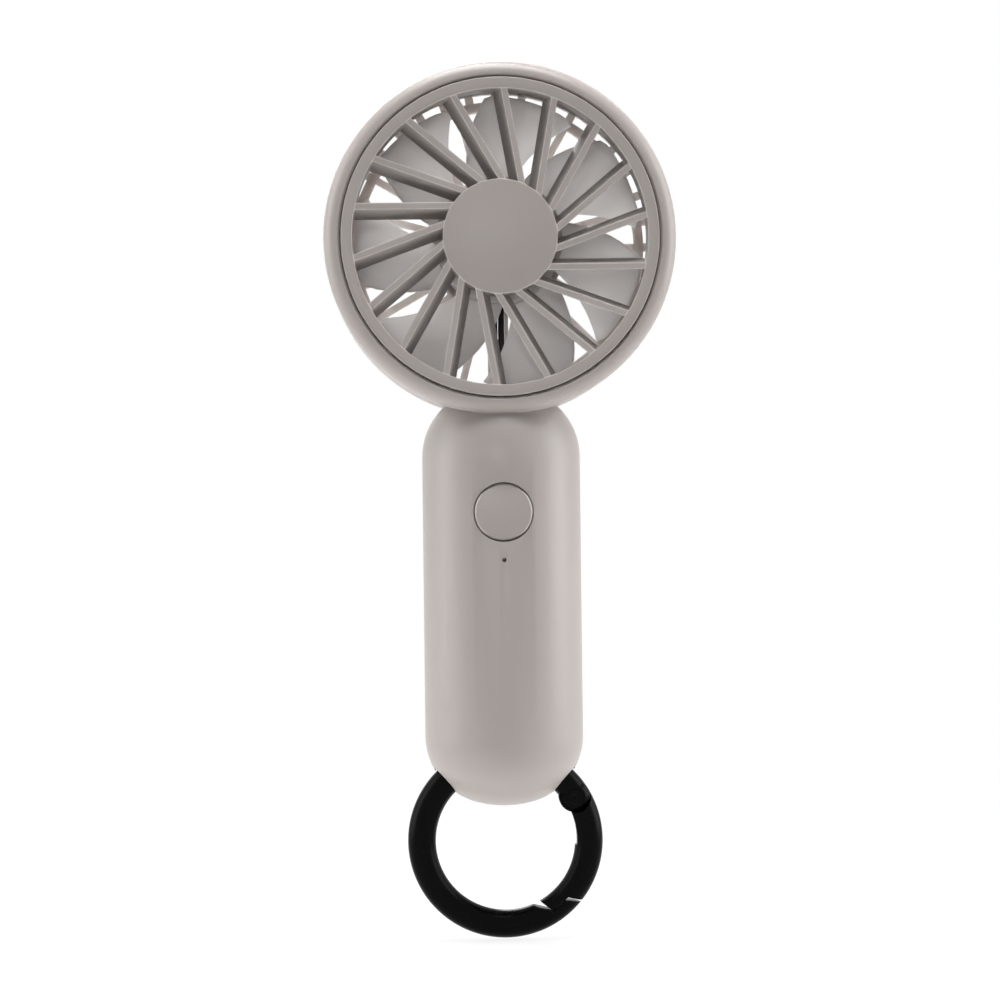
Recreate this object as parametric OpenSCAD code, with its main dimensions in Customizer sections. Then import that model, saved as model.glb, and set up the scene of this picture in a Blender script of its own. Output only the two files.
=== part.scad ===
// Battery-powered handheld fan with a spring-gate carrying ring, in millimetres.
// The origin is the middle of the grip. The fan blows towards -Y and stands along +Z.

/* [Head] */
// Outer radius of the head
head_r = 35.3; // [33:0.1:40]
// Depth of the head, front to back
head_depth = 30; // [28:0.5:38]
// Rounding of the front edge of the head
front_lip = 3.2; // [2:0.1:3.3]
// Rounding of the rear edge of the head
rear_lip = 1.8; // [1:0.1:2]
// Width of the front bezel, from the grille opening to the outer edge
bezel_w = 3.35; // [3.3:0.05:4.5]
// Wall of the rear half of the head
hoop_wall = 1.6; // [1.2:0.1:2]
// How far the dome of the grip reaches into the head
neck_overlap = 5.85; // [5:0.05:6.5]

/* [Front grille] */
// Gap between the grille and its opening
grille_gap = 0.2; // [0.1:0.05:0.4]
// Depth of the front grille
grille_depth = 6.5; // [5:0.1:7]
// Width of the grille's rim
grille_rim_w = 2.25; // [1.8:0.05:3]
// Radius of the plain disc in the middle
centre_disc_r = 11.45; // [9:0.05:13]
// Number of spokes
spoke_count = 18; // [12:1:20]
// Width of a spoke
spoke_w = 1.3; // [1:0.1:1.8]
// Distance by which each spoke misses the centre
spoke_offset = 6.2; // [4:0.1:7]
// Sideways lean of a spoke over its depth
spoke_lean = 1.5; // [0.5:0.1:2]
// How far the spokes lie below the faces of the rim
spoke_recess = 0.15; // [0.1:0.05:0.4]

/* [Impeller] */
// Number of blades
blade_count = 7; // [5:1:8]
// Radius of the impeller's hub
impeller_hub_r = 12.8; // [12:0.1:14]
// Gap between the blade tips and the duct
tip_gap = 3.2; // [2:0.1:6]
// Depth of the impeller's hub
impeller_depth = 11.5; // [11:0.1:13]
// Gap between the front grille and the impeller
impeller_gap = 1.5; // [1:0.1:2.5]
// Wall of the impeller's hub
impeller_wall = 1.05; // [0.8:0.05:1.5]
// Thickness of a blade
blade_t = 1.1; // [0.8:0.1:1.6]
// Depth of a blade along the axis
blade_depth = 9.5; // [6:0.5:10]

/* [Motor] */
// Radius of the motor shaft
shaft_r = 1; // [0.8:0.05:1.4]
// Running clearance of the shaft in its bearing
shaft_gap = 0.03; // [0.02:0.005:0.06]
// Outer radius of the sleeve bearing
bearing_r = 3; // [2.5:0.1:3.4]
// Outer radius of the bearing tube
tube_r = 4; // [3.8:0.1:4.4]
// Thickness of the steel rotor yoke
yoke_t = 0.8; // [0.6:0.1:1]
// Thickness of the ring magnet
magnet_t = 1.6; // [1.2:0.1:1.8]
// Air gap between the magnet and the stator
air_gap = 0.35; // [0.3:0.05:0.5]
// Height of the stator core
stator_h = 5; // [4:0.5:6]
// Number of stator poles
pole_count = 6; // [4:1:6]

/* [Rear grille] */
// Thickness of the rear grille
rear_t = 2.5; // [2:0.1:3.5]
// Radius of the motor cup
cup_r = 14; // [13:0.1:16]
// Number of bars, with the lead channel as one of them
bar_count = 24; // [16:1:30]
// Width of a bar
bar_w = 1.5; // [1:0.1:2]
// How far the bars lie below the faces of the rear grille
bar_recess = 0.2; // [0.1:0.05:0.4]
// Width of the ring around the bars
band_w = 2; // [1.5:0.1:2.5]
// Radial width of the small windows outside the ring
window_h = 1.6; // [1:0.1:2]
// Number of small windows
window_count = 36; // [24:1:40]
// Width of the rib between two windows
window_rib = 1.7; // [1.2:0.1:2]
// Width of the channel for the motor leads
channel_w = 4.3; // [4:0.1:5]
// Wall of that channel
channel_wall = 0.75; // [0.6:0.05:0.8]

/* [Grip] */
// Radius of the grip
grip_r = 16.1; // [15.6:0.1:18]
// Length of the grip
grip_l = 85.3; // [82:0.1:100]
// Radius of the dome at each end of the grip
grip_end_r = 22; // [20:0.5:26]
// Radius of the rounding between the dome and the side
grip_corner_r = 14; // [12:0.1:15]
// Wall of the grip
wall = 2; // [1.6:0.1:2.2]

/* [Button and light] */
// Radius of the push button
button_r = 5.75; // [4.5:0.05:6.2]
// Gap around the button
button_gap = 0.2; // [0.15:0.05:0.4]
// Travel of the button
button_travel = 0.5; // [0.3:0.05:0.6]
// Distance of the button from the top of the grip
button_drop = 25.45; // [24:0.05:28]
// Distance of the status light from the top of the grip
led_drop = 34.95; // [33:0.05:40]
// Radius of the status light's hole
led_r = 0.45; // [0.4:0.05:0.8]

/* [Electronics] */
// Thickness of the circuit boards
board_t = 1.2; // [0.8:0.1:1.6]
// Width of the main board
board_w = 20; // [18:0.5:20.5]
// Length of the main board
board_l = 37.5; // [36:0.5:42]
// Distance of the main board's front face from the grip's axis
board_y = 8.6; // [8:0.1:8.8]
// Distance of the main board's top from the top of the grip
board_drop = 13.15; // [13:0.05:14]
// Radius of the battery cell
cell_r = 9.15; // [7:0.05:9.3]
// Distance of the cell's axis behind the grip's axis
cell_y = 4.2; // [3.8:0.1:4.4]
// Distance of the charging socket from the top of the grip
usb_drop = 15.85; // [15:0.05:17]

/* [Screws] */
// Radius of a case screw's thread
screw_r = 1; // [0.8:0.1:1.2]
// Radius of a case screw's head
screw_head_r = 1.9; // [1.7:0.1:2.1]
// Distance of the upper case screws from the middle of the grip
screw_x = 8; // [7:0.1:8.5]
// Distance of the upper case screws from the top of the grip
screw_drop = 9.15; // [8.8:0.05:9.5]

/* [Carrying ring] */
// Radius of the ring's centreline
ring_r = 17.05; // [15:0.05:20]
// Radius of the ring's section
ring_wire_r = 2.85; // [2.4:0.05:3]
// Gap between the ring and its eye in the grip
ring_gap = 0.3; // [0.2:0.05:0.5]
// Height of the eye above the bottom of the grip
eye_rise = 9.85; // [9.5:0.05:12]
// Furthest swing of the ring to the front and to the back
swing_max = 30; // [15:1:35]
// Position of the gate's pin around the ring, up from the right
pin_angle = 32; // [30:1:36]
// Distance of the gate's pin from the centre of the ring
pin_orbit = 16.7; // [14.5:0.05:19.5]
// Radius of the gate's pin
pin_r = 0.9; // [0.7:0.05:1.1]
// Running clearance of the gate on its pin
pin_gap = 0.05; // [0.03:0.01:0.08]
// Radius of the knuckle around the pin
knuckle_r = 3.2; // [3:0.05:3.6]
// Gap between the gate and the ring
gate_gap = 0.2; // [0.15:0.05:0.3]

/* [Hidden] */
$fn = 96;

// Colours of the finishes
shell_colour = [0.73, 0.70, 0.68];
grille_colour = [0.69, 0.66, 0.64];
black_colour = [0.06, 0.06, 0.06];
steel_colour = [0.72, 0.73, 0.75];
magnet_colour = [0.25, 0.25, 0.27];
bronze_colour = [0.66, 0.52, 0.30];
copper_colour = [0.78, 0.42, 0.20];
board_colour = [0.08, 0.32, 0.18];
nickel_colour = [0.80, 0.79, 0.76];
foam_colour = [0.20, 0.20, 0.21];
cell_colour = [0.20, 0.42, 0.62];

// How far a cut runs past the surface that it opens
cut_over = 1;
// Clearance of pieces that are pushed onto one another
seat_gap = 0.03;
// Longer than any piece, for cutting planes
reach = grip_l + 4 * head_r;

// Planes and radii of the head, with the front plane at -Y
head_z = grip_l / 2 + head_r - neck_overlap;
front_y = -head_depth / 2;
rear_y = head_depth / 2;
opening_r = head_r - bezel_w;
// Chamfer around the grille opening
opening_edge = 0.6;
grille_r = opening_r - grille_gap;
grille_rim_in = grille_r - grille_rim_w;
grille_back = front_y + grille_depth;
// Length over which the grille is gripped by its opening
grille_grip = 2;
// How far a spoke reaches into the centre disc
spoke_root = 1;
ledge_w = 1.15;
ledge_t = 1.3;
rear_bore_r = head_r - hoop_wall;
// Clearance of the parts that slide into the rear half
insert_gap = 0.1;
flange_r = rear_bore_r - insert_gap;
flange_t = 1.2;
flange_w = 0.6;
rim_r = flange_r - flange_w;
rim_w = 0.8;
rear_lip_t = 2;
flange_front = rear_y - rear_lip_t - flange_t;
// Collar of the front half that holds the rear grille's flange in place
collar_w = 1.1;
duct_r = flange_r - collar_w;
collar_end = flange_front - insert_gap / 2;

// Planes and radii of the impeller and the motor
impeller_front = grille_back + impeller_gap;
impeller_back = impeller_front + impeller_depth;
hub_plate_t = 1.2;
hub_inside = impeller_front + hub_plate_t;
tip_r = duct_r - tip_gap;
yoke_r = impeller_hub_r - impeller_wall;
magnet_r = yoke_r - yoke_t;
stator_r = magnet_r - magnet_t - air_gap;
boss_r = 2.6;
boss_l = 2.4;
boss_end = hub_inside + boss_l;
// End float of the rotor
end_float = 0.1;
washer_t = 0.4;
bearing_front = boss_end + 2 * end_float + washer_t;
bearing_l = 11;
bearing_back = bearing_front + bearing_l;
clip_t = 0.4;
clip_r = 1.9;
clip_groove = 0.3;
clip_groove_r = shaft_r - clip_groove;
clip_front = bearing_back + end_float;
shaft_tail = 0.8;
shaft_end = clip_front + clip_t + shaft_tail;
rotor_mid = (hub_inside + impeller_back) / 2;
magnet_l = 8;
motor_board_gap = 0.4;
motor_board_front = impeller_back + motor_board_gap;
motor_board_r = 9.5;
shoulder_w = 1.5;
shoulder_r = tube_r + shoulder_w;
shoulder_y = motor_board_front + board_t;
cup_wall = 1.2;
cup_gap = 0.7;
cup_front = impeller_back + cup_gap;
rear_front = rear_y - rear_t;
// Stator: hub, teeth, shoes and the coils around the teeth
core_r = tube_r + seat_gap;
core_w = 1.4;
tooth_w = 2.2;
shoe_t = 1;
shoe_gap = 1.6;
coil_over = 1.1;
coil_gap = 0.2;

// Lead channel and the leads in it
lead_r = 0.65;
lead_gap = 0.1;
lead_x = lead_r + lead_gap / 2;
channel_in = channel_w - 2 * channel_wall;
channel_floor = 0.8;
lead_y = rear_y - channel_floor - lead_r;
// Distance of the leads' solder points below the motor's axis
lead_tap = 8;
// Bends of the leads: out of the channel, into the grip, above the main board and onto it
lead_exit = 2;
neck_y = 10;
neck_drop = 6.6;
fold_y = 4;
fold_drop = 9;
lead_land = 1.2;
lead_inset = 2;
neck_room = 0.3;

// Outline of the grip
corner_x = grip_r - grip_corner_r;
end_z = grip_l / 2 - grip_end_r;
corner_z = end_z + sqrt(pow(grip_end_r - grip_corner_r, 2) - pow(corner_x, 2));
tangent_a = atan2(corner_z - end_z, corner_x);
top_z = grip_l / 2;

// Carrying ring
eye_z = eye_rise - top_z;
ring_z = eye_z - ring_r;
bore_r = ring_wire_r + ring_gap;
eye_roof = 1.75;
// Step between the eye's two ends and the fan between them
eye_step = 0.05;
floor_z = eye_z + bore_r + eye_roof;

// Boards, cell and socket
board_top = top_z - board_drop;
board_back = board_t - board_y;
button_z = top_z - button_drop;
led_z = top_z - led_drop;
usb_z = top_z - usb_drop;
usb_w = 8.94;
usb_h = 3.16;
usb_wall = 0.3;
usb_l = 7.3;
usb_gap = 0.2;
usb_sink = 1.1;
usb_mouth = grip_r - usb_sink;
usb_board_top = usb_z - usb_h / 2;
usb_board_w = 14;
usb_board_front = 2;
usb_board_room = 2.4;
rail_h = 1.1;
rail_w = 3;
rail_front = 7;
tab_t = 0.25;
wire_r = 0.5;
nub_h = 0.5;
nub_r = 3;
cell_top = usb_board_top - board_t - rail_h - 2 * wire_r - tab_t - nub_h;
cell_rest = 0.1;
cell_bottom = floor_z + 2 * wire_r + tab_t + cell_rest;

// Button, switch and light
button_sink = 0.35;
button_face = button_sink - grip_r;
button_edge = 0.35;
button_cup = 2.4;
flange_lip = 0.85;
button_flange_t = 0.6;
plunger_r = 1.75;
plunger_gap = 0.15;
switch_w = 6;
switch_h = 3.4;
plunger_in = 1;
plunger_room = button_travel + plunger_gap;
switch_front = -board_y - switch_h;
button_back = button_face + button_cup;
plunger_front = button_back + button_flange_t;
// Chips of the main board, above its lower end
chip_h = 1;
chip_w = 5;
small_chip_w = 3.5;
chip_x = 5;
chip_rise = 6;
upper_chip_rise = 30.5;
led_h = 0.8;

// Screws
screw_z = top_z - screw_drop;
tail_screw_z = (eye_z - bore_r - top_z) / 2;
screw_head_h = 1.3;
screw_gap = 0.15;
head_gap = 0.3;
boss_wall = 1.6;
screw_seat = 9;
tail_seat = 7;
screw_bite = 4;
board_screw_r = 0.8;
board_screw_head_r = 1.4;
board_screw_head_h = 0.9;
board_screw_x = 7.5;
board_screw_rise = 3.5;
board_screw_z = board_top - board_l + board_screw_rise;
board_screw_l = 2.6;

// Gate of the ring, as polar places of its half-lapped end: outer edge, step, inner step and tip
lap_outer_a = -36;
lap_step_a = -42.6;
lap_end_a = -56.3;
lap_tip_a = -66;
// Extra angle that the ring leaves clear at the step, so that the gate swings free
lap_relief_a = 2.3;
sweep_end_a = -86;
gate_gap_a = gate_gap / ring_r * 180 / PI;
ring_out = ring_r + ring_wire_r;
ring_in = ring_r - ring_wire_r;
ring_margin = 2;
tongue_half = 0.9;
tongue_gap = 0.1;
slot_half = tongue_half + tongue_gap;
cheek_y = 2.5;
knuckle_edge = 1;
tongue_r = knuckle_r - gate_gap;
heel = 1.9;
spring_offset = 1.1;
spring_r = 0.7;
spring_bore = 0.4;
spring_l = 4;
spring_gap = 0.15;
rivet_r = 1.5;
rivet_h = 0.35;
dimple_r = 0.55;
gate_hollow = 0.4;
hollow_top_a = 24;
hollow_end_a = -4;

// Point on a circle
function polar(r, a) = [r * cos(a), r * sin(a)];

// Distance from the gate's pin to the corner of its nose
nose_reach = norm(polar(ring_r, lap_end_a) - polar(pin_orbit, pin_angle));

// Places children on the head's axis, with their Z from front to back and their Y downwards
module about_head() {
    translate([0, 0, head_z]) rotate([-90, 0, 0]) children();
}

// Tube on the head's axis between two planes
module head_tube(inner_r, outer_r, from_y, to_y) {
    about_head() translate([0, 0, from_y]) difference() {
        cylinder(r = outer_r, h = to_y - from_y);
        translate([0, 0, -cut_over]) cylinder(r = inner_r, h = to_y - from_y + 2 * cut_over);
    }
}

// Rod on the head's axis between two planes
module head_rod(r, from_y, to_y) {
    about_head() translate([0, 0, from_y]) cylinder(r = r, h = to_y - from_y);
}

// Rod along Y between two planes at a place in the grip
module depth_rod(x, z, r, from_y, to_y) {
    translate([x, from_y, z]) rotate([-90, 0, 0]) cylinder(r = r, h = to_y - from_y);
}

// Block given by its two corners
module block(low, high) {
    translate(low) cube(high - low);
}

// Straight round rod between two points
module rod(from, to, r) {
    way = to - from;
    translate(from) rotate([0, acos(way.z / norm(way)), atan2(way.y, way.x)]) cylinder(r = r, h = norm(way));
}

// Direction of a path at one of its points, halfway between the stretches that meet there
function unit(v) = v / norm(v);
function stretch(points, i) = unit(points[i + 1] - points[i]);
function heading(points, i) = i == 0 ? stretch(points, 0)
    : i == len(points) - 1 ? stretch(points, i - 1)
    : unit(stretch(points, i - 1) + stretch(points, i));

// Round wire along points that share one X, with mitred bends
module wire(points, r) {
    sides = 12;
    last = len(points) - 1;
    rings = [for (i = [0:last]) let (
        way = heading(points, i),
        across = cross([1, 0, 0], way) / (way * stretch(points, min(i, last - 1))))
        for (k = [0:sides - 1]) let (turn = k * 360 / sides)
        points[i] + r * (cos(turn) * [1, 0, 0] + sin(turn) * across)];
    skin = [for (i = [0:last - 1]) for (k = [0:sides - 1]) let (
        a = i * sides + k,
        b = i * sides + (k + 1) % sides)
        each [[a, a + sides, b], [b, a + sides, b + sides]]];
    start_cap = [for (k = [1:sides - 2]) [0, k, k + 1]];
    end_cap = [for (k = [1:sides - 2]) [last * sides, last * sides + k + 1, last * sides + k]];
    polyhedron(points = rings, faces = concat(skin, start_cap, end_cap));
}

// Slice of a disc between two angles
module disc_slice(r, from_a, to_a) {
    intersection() {
        circle(r = r);
        polygon([[0, 0], polar(2 * r, from_a), polar(2 * r, to_a)]);
    }
}

// Section with round ends, as wide and as high as given
module stadium(w, h) {
    square([w - h, h], center = true);
    for (side = [-1, 1]) translate([side * (w - h) / 2, 0]) circle(r = h / 2);
}

// Half section of the head as a plain disc with rounded edges
module head_profile() {
    translate([0, front_y]) square([head_r - front_lip, front_lip]);
    translate([0, front_y + front_lip]) square([head_r, head_depth - front_lip - rear_lip]);
    translate([0, rear_y - rear_lip]) square([head_r - rear_lip, rear_lip]);
    translate([head_r - front_lip, front_y + front_lip]) disc_slice(front_lip, -90, 0);
    translate([head_r - rear_lip, rear_y - rear_lip]) disc_slice(rear_lip, 0, 90);
}

// Half section of the grip, drawn in from its surface by an inset
module grip_profile(inset) {
    r = grip_r - inset;
    polygon([[0, -end_z], [corner_x, -corner_z], [r, -corner_z], [r, corner_z], [corner_x, corner_z],
        [0, end_z]]);
    for (end = [0, 1]) mirror([0, end]) {
        translate([corner_x, corner_z]) disc_slice(grip_corner_r - inset, 0, tangent_a);
        translate([0, end_z]) disc_slice(grip_end_r - inset, tangent_a, 90);
    }
}

// One half of space, in front of or behind the parting plane
module half_space(side) {
    translate([-reach, side < 0 ? -reach : 0, -reach]) cube([2 * reach, reach, 2 * reach]);
}

// Grip and head as one solid, cut at the parting plane
module casing_half(side) {
    intersection() {
        union() {
            about_head() rotate_extrude() head_profile();
            rotate_extrude() grip_profile(0);
        }
        half_space(side);
    }
}

// Hollow of the grip, above the solid foot and below the head
module grip_hollow() {
    difference() {
        intersection() {
            rotate_extrude() grip_profile(wall);
            translate([-reach, -reach, floor_z]) cube(2 * reach);
        }
        head_rod(head_r, -reach, reach);
    }
}

// Keeps only what lies inside the grip's wall
module inside_grip() {
    intersection() {
        children();
        rotate_extrude() grip_profile(wall / 2);
    }
}

// Ring's section swept round, hung from the eye
module ring_torus(r) {
    translate([0, 0, -ring_r]) rotate([90, 0, 0]) rotate_extrude() translate([ring_r, 0]) circle(r = r);
}

// Flat outline of the ring beside its swing axis, on one side of that axis
module ring_outline(r, side) {
    intersection() {
        translate([side * ring_r, 0]) difference() {
            circle(r = ring_r + r);
            circle(r = ring_r - r);
        }
        translate([0, -reach]) square([reach, 2 * reach]);
    }
}

// Space that the ring sweeps in the foot of the grip
module ring_eye() {
    inner = bore_r - eye_step;
    translate([0, 0, eye_z]) {
        for (side = [-1, 1]) rotate([side * swing_max, 0, 0]) ring_torus(bore_r);
        rotate([0, 90, 0]) {
            rotate_extrude(angle = 2 * swing_max, start = -swing_max) ring_outline(inner, 1);
            rotate_extrude(angle = 2 * swing_max, start = 180 - swing_max) ring_outline(inner, -1);
        }
    }
}

// Path of one motor lead, from the motor board to the main board
function lead_path(x) = [
    [x, shoulder_y, head_z - lead_tap],
    [x, lead_y, head_z - lead_tap],
    [x, lead_y, head_z - rim_r + lead_exit],
    [x, neck_y, top_z - neck_drop],
    [x, -fold_y, top_z - fold_drop],
    [x, board_back + lead_land, board_top - lead_inset],
    [x, board_back, board_top - lead_inset]
];

// Hole for both leads through the neck
module neck_hole() {
    path = lead_path(0);
    for (x = [-lead_x, 0, lead_x]) translate([x, 0, 0]) rod(path[2], path[3], lead_r + neck_room);
}

// Places of the case screws: x, z and the plane of the seat
screw_places = [[-screw_x, screw_z, screw_seat], [screw_x, screw_z, screw_seat],
    [0, tail_screw_z, tail_seat]];

module front_shell() {
    color(shell_colour) difference() {
        union() {
            difference() {
                casing_half(-1);
                grip_hollow();
            }
            inside_grip() for (side = [-1, 1]) {
                depth_rod(side * screw_x, screw_z, screw_r + boss_wall, -grip_r, 0);
                depth_rod(side * board_screw_x, board_screw_z, board_screw_r + boss_wall, -grip_r, -board_y);
            }
            head_tube(duct_r, flange_r, -cut_over, collar_end);
        }
        head_rod(opening_r, front_y - cut_over, grille_back - grille_grip);
        about_head() translate([0, 0, front_y - opening_edge]) {
            cylinder(r1 = opening_r + 2 * opening_edge, r2 = opening_r - opening_edge, h = 3 * opening_edge);
        }
        head_rod(grille_r, front_y - cut_over, grille_back);
        head_rod(grille_rim_in + ledge_w, front_y - cut_over, reach);
        head_rod(duct_r, grille_back + ledge_t, reach);
        depth_rod(0, button_z, button_r + button_gap, -grip_r - cut_over, 0);
        depth_rod(0, led_z, led_r, -grip_r - cut_over, 0);
        depth_rod(0, button_z, button_r + flange_lip + button_gap, button_back - button_gap, 0);
        for (p = screw_places) depth_rod(p[0], p[1], screw_r, -screw_bite, cut_over);
        for (side = [-1, 1]) {
            depth_rod(side * board_screw_x, board_screw_z, board_screw_r, -board_y - board_screw_l, 0);
        }
        ring_eye();
        neck_hole();
    }
}

module rear_shell() {
    color(shell_colour) difference() {
        union() {
            difference() {
                casing_half(1);
                grip_hollow();
            }
            inside_grip() for (side = [-1, 1]) {
                depth_rod(side * screw_x, screw_z, screw_head_r + head_gap + boss_wall / 2, 0, grip_r);
                block([side * usb_board_w / 2 - rail_w / 2, rail_front, usb_board_top - board_t - rail_h],
                    [side * usb_board_w / 2 + rail_w / 2, grip_r, usb_board_top - board_t]);
            }
        }
        head_rod(rear_bore_r, -cut_over, rear_y - rear_lip_t);
        head_rod(rim_r + insert_gap, -cut_over, reach);
        for (p = screw_places) {
            depth_rod(p[0], p[1], screw_r + screw_gap, -cut_over, reach);
            depth_rod(p[0], p[1], screw_head_r + head_gap, p[2], reach);
        }
        translate([0, reach, usb_z]) rotate([90, 0, 0]) linear_extrude(height = reach) {
            stadium(usb_w + 2 * usb_gap, usb_h + 2 * usb_gap);
        }
        ring_eye();
        neck_hole();
    }
}

// Slanted spoke of the front grille, reaching from the centre disc into the rim
module front_spoke() {
    from_r = centre_disc_r - spoke_root;
    to_r = grille_r - grille_rim_w / 2;
    from_x = sqrt(pow(from_r, 2) - pow(spoke_offset, 2));
    to_x = sqrt(pow(to_r, 2) - pow(spoke_offset, 2));
    edge = spoke_offset - spoke_w / 2;
    translate([from_x, 0, 0]) rotate([90, 0, 90]) linear_extrude(height = to_x - from_x) {
        polygon([[edge, front_y + spoke_recess], [edge + spoke_w, front_y + spoke_recess],
            [edge + spoke_w - spoke_lean, grille_back - spoke_recess],
            [edge - spoke_lean, grille_back - spoke_recess]]);
    }
}

module front_grille() {
    face_t = 2;
    disc_wall = 2.6;
    color(grille_colour) {
        head_tube(grille_rim_in, grille_r, front_y, grille_back);
        difference() {
            head_rod(centre_disc_r, front_y, grille_back);
            head_rod(centre_disc_r - disc_wall, front_y + face_t, reach);
        }
        about_head() for (i = [0:spoke_count - 1]) rotate([0, 0, i * 360 / spoke_count]) front_spoke();
    }
}

// Bar of the rear grille along the head's own X, between two radii and sunk below both faces
module rear_bar(from_r, to_r, w, recess) {
    translate([from_r, -w / 2, rear_front + recess]) cube([to_r - from_r, w, rear_t - 2 * recess]);
}

module rear_grille() {
    window_r = rim_r - rim_w;
    band_r = window_r - window_h;
    sunk = 0.4;
    channel_end = rim_r - rim_w / 2;
    bar_start = cup_r - cup_wall / 2;
    color(grille_colour) difference() {
        union() {
            head_rod(cup_r, rear_front, rear_y);
            head_tube(cup_r - cup_wall, cup_r, cup_front, rear_y);
            head_tube(bearing_r, tube_r, bearing_front, rear_y);
            head_tube(bearing_r, shoulder_r, shoulder_y, rear_y);
            head_tube(band_r - band_w, band_r, rear_front, rear_y);
            head_tube(window_r, rim_r, flange_front, rear_y);
            head_tube(rim_r - sunk, flange_r, flange_front, flange_front + flange_t);
            about_head() {
                for (i = [1:bar_count - 1]) rotate([0, 0, 90 + i * 360 / bar_count]) {
                    rear_bar(bar_start, band_r - band_w / 2, bar_w, bar_recess);
                }
                for (i = [1:window_count - 1]) rotate([0, 0, 90 + i * 360 / window_count]) {
                    rear_bar(band_r - sunk, window_r + sunk, window_rib, 1.5 * bar_recess);
                }
                rotate([0, 0, 90]) rear_bar(bar_start, channel_end, channel_w, bar_recess / 2);
            }
        }
        about_head() rotate([0, 0, 90]) {
            translate([cup_r - cup_wall - cut_over, -channel_in / 2, cup_front - cut_over]) {
                cube([rim_r, channel_in, rear_y - channel_floor - cup_front + cut_over]);
            }
            translate([lead_tap - channel_in / 2, -channel_in / 2, rear_front - cut_over]) {
                cube([cup_r, channel_in, rear_t - channel_floor + cut_over]);
            }
        }
    }
}

// Places of a blade's skin: u runs from the front edge to the rear edge, v from the hub to the tip
blade_steps = 12;
blade_rows = 8;
blade_root_a = -29.5;
blade_sweep = 24;
blade_root_span = 42;
blade_tip_span = 38;
blade_camber = 0.9;
blade_setback = 0.5;
blade_front = impeller_front + blade_setback;
blade_start_r = impeller_hub_r - impeller_wall / 2;
// Rounding of the tip's corners: how much is taken off, and over which share of the blade
rear_round = 0.9;
rear_share = 0.14;
front_round = 0.6;
front_share = 0.1;
// Thickness at the edges as a share of the blade's own, and the share of its width kept clear of zero
edge_share = 0.35;
edge_inset = 0.04;
function blade_span(v) = blade_root_span + (blade_tip_span - blade_root_span) * v;
function blade_a(u, v) = blade_root_a + blade_sweep * v + u * blade_span(v);
function corner_cut(u, amount, share) = amount * pow(max(0, 1 - u / share), 2);
function tip_cut(u) = corner_cut(1 - u, rear_round, rear_share) + corner_cut(u, front_round, front_share);
function blade_tip(u) = tip_r - tip_cut(u);
function blade_radius(u, v) = blade_start_r + v * (blade_tip(u) - blade_start_r);
function blade_y(u) = blade_front + (blade_depth - blade_t) * u + blade_camber * sin(180 * u);
function blade_bulge(u) = sqrt(sin(180 * (edge_inset + (1 - 2 * edge_inset) * u)));
function blade_skin(u) = blade_t * (edge_share + (1 - edge_share) * blade_bulge(u));
function blade_place(u, v) = polar(blade_radius(u, v), blade_a(u, v) - 90);
function blade_point(u, v, back) = concat(blade_place(u, v), [blade_y(u) + back * blade_skin(u)]);

// One blade as a closed skin of triangles
module blade() {
    across = blade_steps + 1;
    side = across * (blade_rows + 1);
    points = [for (back = [0, 1]) for (j = [0:blade_rows]) for (i = [0:blade_steps])
        blade_point(i / blade_steps, j / blade_rows, back)];
    front = [for (j = [0:blade_rows - 1]) for (i = [0:blade_steps - 1]) let (a = j * across + i)
        each [[a, a + across + 1, a + 1], [a, a + across, a + across + 1]]];
    back = [for (f = front) [f[0] + side, f[2] + side, f[1] + side]];
    border = concat([for (i = [0:blade_steps]) i], [for (j = [1:blade_rows]) j * across + blade_steps],
        [for (i = [1:blade_steps]) blade_rows * across + blade_steps - i],
        [for (j = [1:blade_rows - 1]) (blade_rows - j) * across]);
    rim = [for (k = [0:len(border) - 1]) let (a = border[k], b = border[(k + 1) % len(border)])
        each [[a, b + side, a + side], [a, b, b + side]]];
    polyhedron(points = points, faces = concat(front, back, rim));
}

module impeller() {
    color(grille_colour) difference() {
        union() {
            head_tube(yoke_r, impeller_hub_r, impeller_front, impeller_back);
            head_rod(impeller_hub_r, impeller_front, hub_inside);
            head_rod(boss_r, impeller_front, boss_end);
            about_head() for (i = [0:blade_count - 1]) rotate([0, 0, i * 360 / blade_count]) blade();
        }
        head_rod(shaft_r, impeller_front + hub_plate_t / 2, reach);
    }
}

module rotor_yoke() {
    color(steel_colour) head_tube(magnet_r, yoke_r, hub_inside, impeller_back);
}

module rotor_magnet() {
    half = magnet_l / 2;
    color(magnet_colour) head_tube(magnet_r - magnet_t, magnet_r, rotor_mid - half, rotor_mid + half);
}

module motor_shaft() {
    color(steel_colour) {
        head_rod(shaft_r, impeller_front + hub_plate_t / 2, clip_front);
        head_rod(clip_groove_r, clip_front - cut_over, shaft_end - cut_over / 2);
        head_rod(shaft_r, clip_front + clip_t, shaft_end);
    }
}

module shaft_clip() {
    slit = 0.5;
    color(steel_colour) difference() {
        head_tube(clip_groove_r, clip_r, clip_front, clip_front + clip_t);
        about_head() translate([-slit / 2, 0, clip_front - cut_over]) {
            cube([slit, clip_r + cut_over, clip_t + 2 * cut_over]);
        }
    }
}

module thrust_washer() {
    color(black_colour) head_tube(shaft_r + shaft_gap, boss_r, bearing_front - washer_t, bearing_front);
}

module sleeve_bearing() {
    color(bronze_colour) head_tube(shaft_r + shaft_gap, bearing_r, bearing_front, bearing_back);
}

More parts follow.
